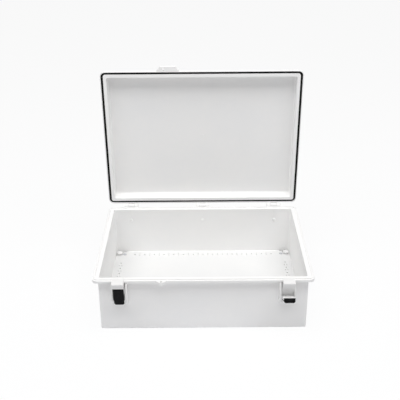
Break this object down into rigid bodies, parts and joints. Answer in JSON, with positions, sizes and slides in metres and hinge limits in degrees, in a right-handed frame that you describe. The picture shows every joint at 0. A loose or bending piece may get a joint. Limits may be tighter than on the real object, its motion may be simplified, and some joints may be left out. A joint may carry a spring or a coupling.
{
  "type": "hinged enclosure",
  "caption": "Light grey plastic enclosure with a hinged sealed lid, snap-hook latches and a perforated mounting plate inside.",
  "frame": {"origin": "centre of the base's underside, which is the middle of the wall-fixing holes", "axes": "+X to the right as seen from the latches, +Y to the hinges, +Z out of the base's mouth"},
  "size_m": [0.38, 0.3481, 0.3993],
  "materials": {
    "grey_abs": "satin moulded",
    "white_abs": "satin moulded",
    "black_plastic": "satin",
    "seal_rubber": "matt",
    "steel": "zinc plated"
  },
  "bodies": {
    "base": {"base": "grey_abs", "mounting_plate": "white_abs", "fixing_plugs": "grey_abs", "hinge_screws": "grey_abs", "left_hinge_leaf": "grey_abs", "centre_hinge_leaf": "grey_abs", "right_hinge_leaf": "grey_abs", "left_latch_bracket": "grey_abs", "right_latch_bracket": "grey_abs", "plate_screws": "steel", "bracket_screws": "steel", "left_hinge_pin": "steel", "centre_hinge_pin": "steel", "right_hinge_pin": "steel", "left_latch_pin": "steel", "right_latch_pin": "steel"},
    "lid": {"lid": "grey_abs", "lid_gasket": "seal_rubber"},
    "left_hook": {"left_hook": "grey_abs"},
    "left_lever": {"left_lever": "grey_abs", "left_lever_cover": "black_plastic"},
    "right_hook": {"right_hook": "grey_abs"},
    "right_lever": {"right_lever": "grey_abs", "right_lever_cover": "black_plastic"}
  },
  "joints": [
    {"name": "lid_hinge", "type": "hinge", "parent": "base", "child": "lid", "pos_m": [0, 0.1465, 0.104], "axis": [-1, 0, 0], "range_deg": [-86.5, 0]},
    {"name": "left_hook_pivot", "type": "hinge", "parent": "base", "child": "left_hook", "pos_m": [-0.1435, -0.148, 0.0743], "axis": [1, 0, 0], "range_deg": [-17, 0]},
    {"name": "left_lever_pivot", "type": "hinge", "parent": "left_hook", "child": "left_lever", "pos_m": [-0.1435, -0.148, 0.0743], "axis": [1, 0, 0], "range_deg": [0, 48.5]},
    {"name": "right_hook_pivot", "type": "hinge", "parent": "base", "child": "right_hook", "pos_m": [0.1435, -0.148, 0.0743], "axis": [1, 0, 0], "range_deg": [-17, 0]},
    {"name": "right_lever_pivot", "type": "hinge", "parent": "right_hook", "child": "right_lever", "pos_m": [0.1435, -0.148, 0.0743], "axis": [1, 0, 0], "range_deg": [-48.5, 0]}
  ]
}
